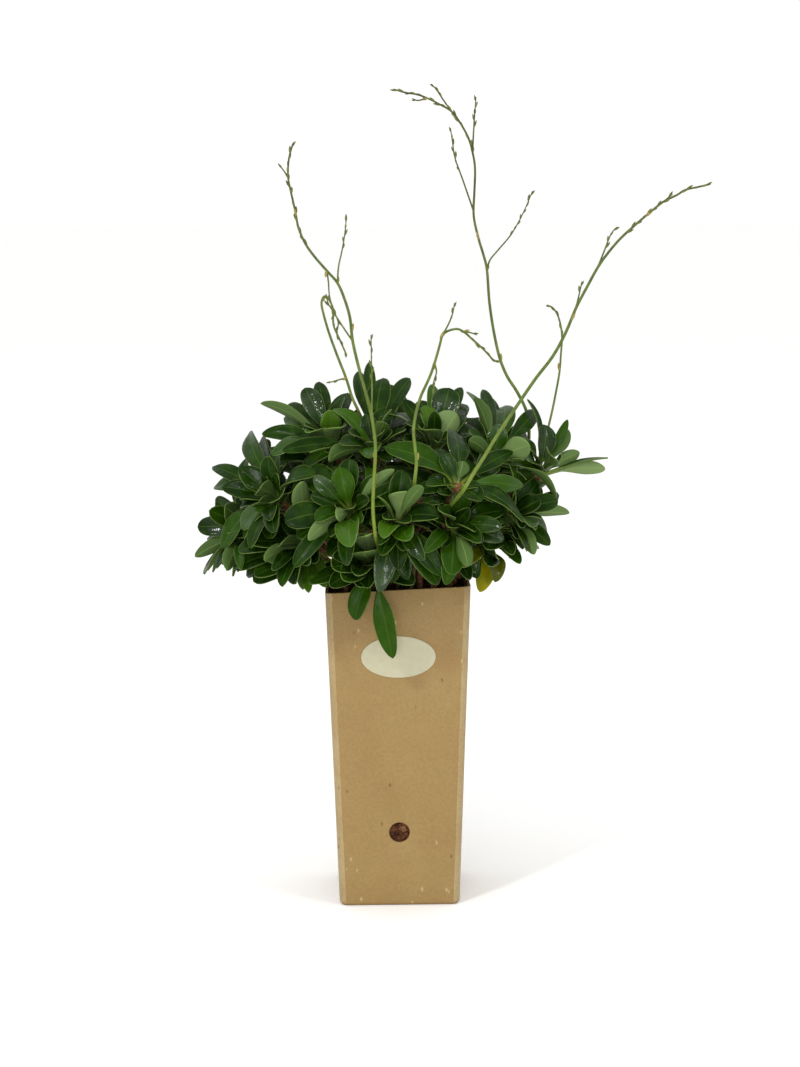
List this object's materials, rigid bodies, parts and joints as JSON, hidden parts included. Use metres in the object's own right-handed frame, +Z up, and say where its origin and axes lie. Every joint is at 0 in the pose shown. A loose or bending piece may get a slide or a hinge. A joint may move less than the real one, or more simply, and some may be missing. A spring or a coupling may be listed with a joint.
{
  "type": "potted goniolimon",
  "caption": "Clump of dark green spoon-shaped leaves with thin branched flower stems, in a tall square tapered pot of brown board.",
  "frame": {"origin": "middle of the pot's flat base, at the level that it stands on", "axes": "+Z up along the pot, -Y towards the front with the label and the drain hole, +X to the right seen from the front"},
  "size_m": [0.3416, 0.2245, 0.5543],
  "materials": {
    "board": "matt pressed board with fine flecks",
    "compost": "rough, dark brown peat",
    "label_paper": "smooth cream paper, blank",
    "leaf": "leathery and glossy, dark green",
    "flower_stem": "satin, light green"
  },
  "bodies": {
    "root": {"compost": "compost", "flower_stem_arching_middle": "flower_stem", "flower_stem_nodding_left": "flower_stem", "flower_stem_tall_left": "flower_stem", "flower_stem_tall_middle": "flower_stem", "flower_stem_tall_right": "flower_stem", "flower_stem_thin_right": "flower_stem", "label": "label_paper", "pot": "board", "rosette_back_left": "leaf", "rosette_back_left_high": "leaf", "rosette_back_left_low": "leaf", "rosette_back_middle": "leaf", "rosette_back_right": "leaf", "rosette_back_right_high": "leaf", "rosette_back_right_low": "leaf", "rosette_crown_left": "leaf", "rosette_crown_right": "leaf", "rosette_front_low": "leaf", "rosette_front_middle": "leaf", "rosette_front_right": "leaf", "rosette_front_right_low": "leaf", "rosette_left_low": "leaf", "rosette_left_mid": "leaf", "rosette_left_top": "leaf", "rosette_left_under": "leaf", "rosette_middle_left": "leaf", "rosette_right_low": "leaf", "rosette_right_mid": "leaf", "rosette_right_under": "leaf", "rosette_top_left": "leaf", "rosette_top_middle": "leaf", "rosette_top_right": "leaf"}
  },
  "joints": []
}
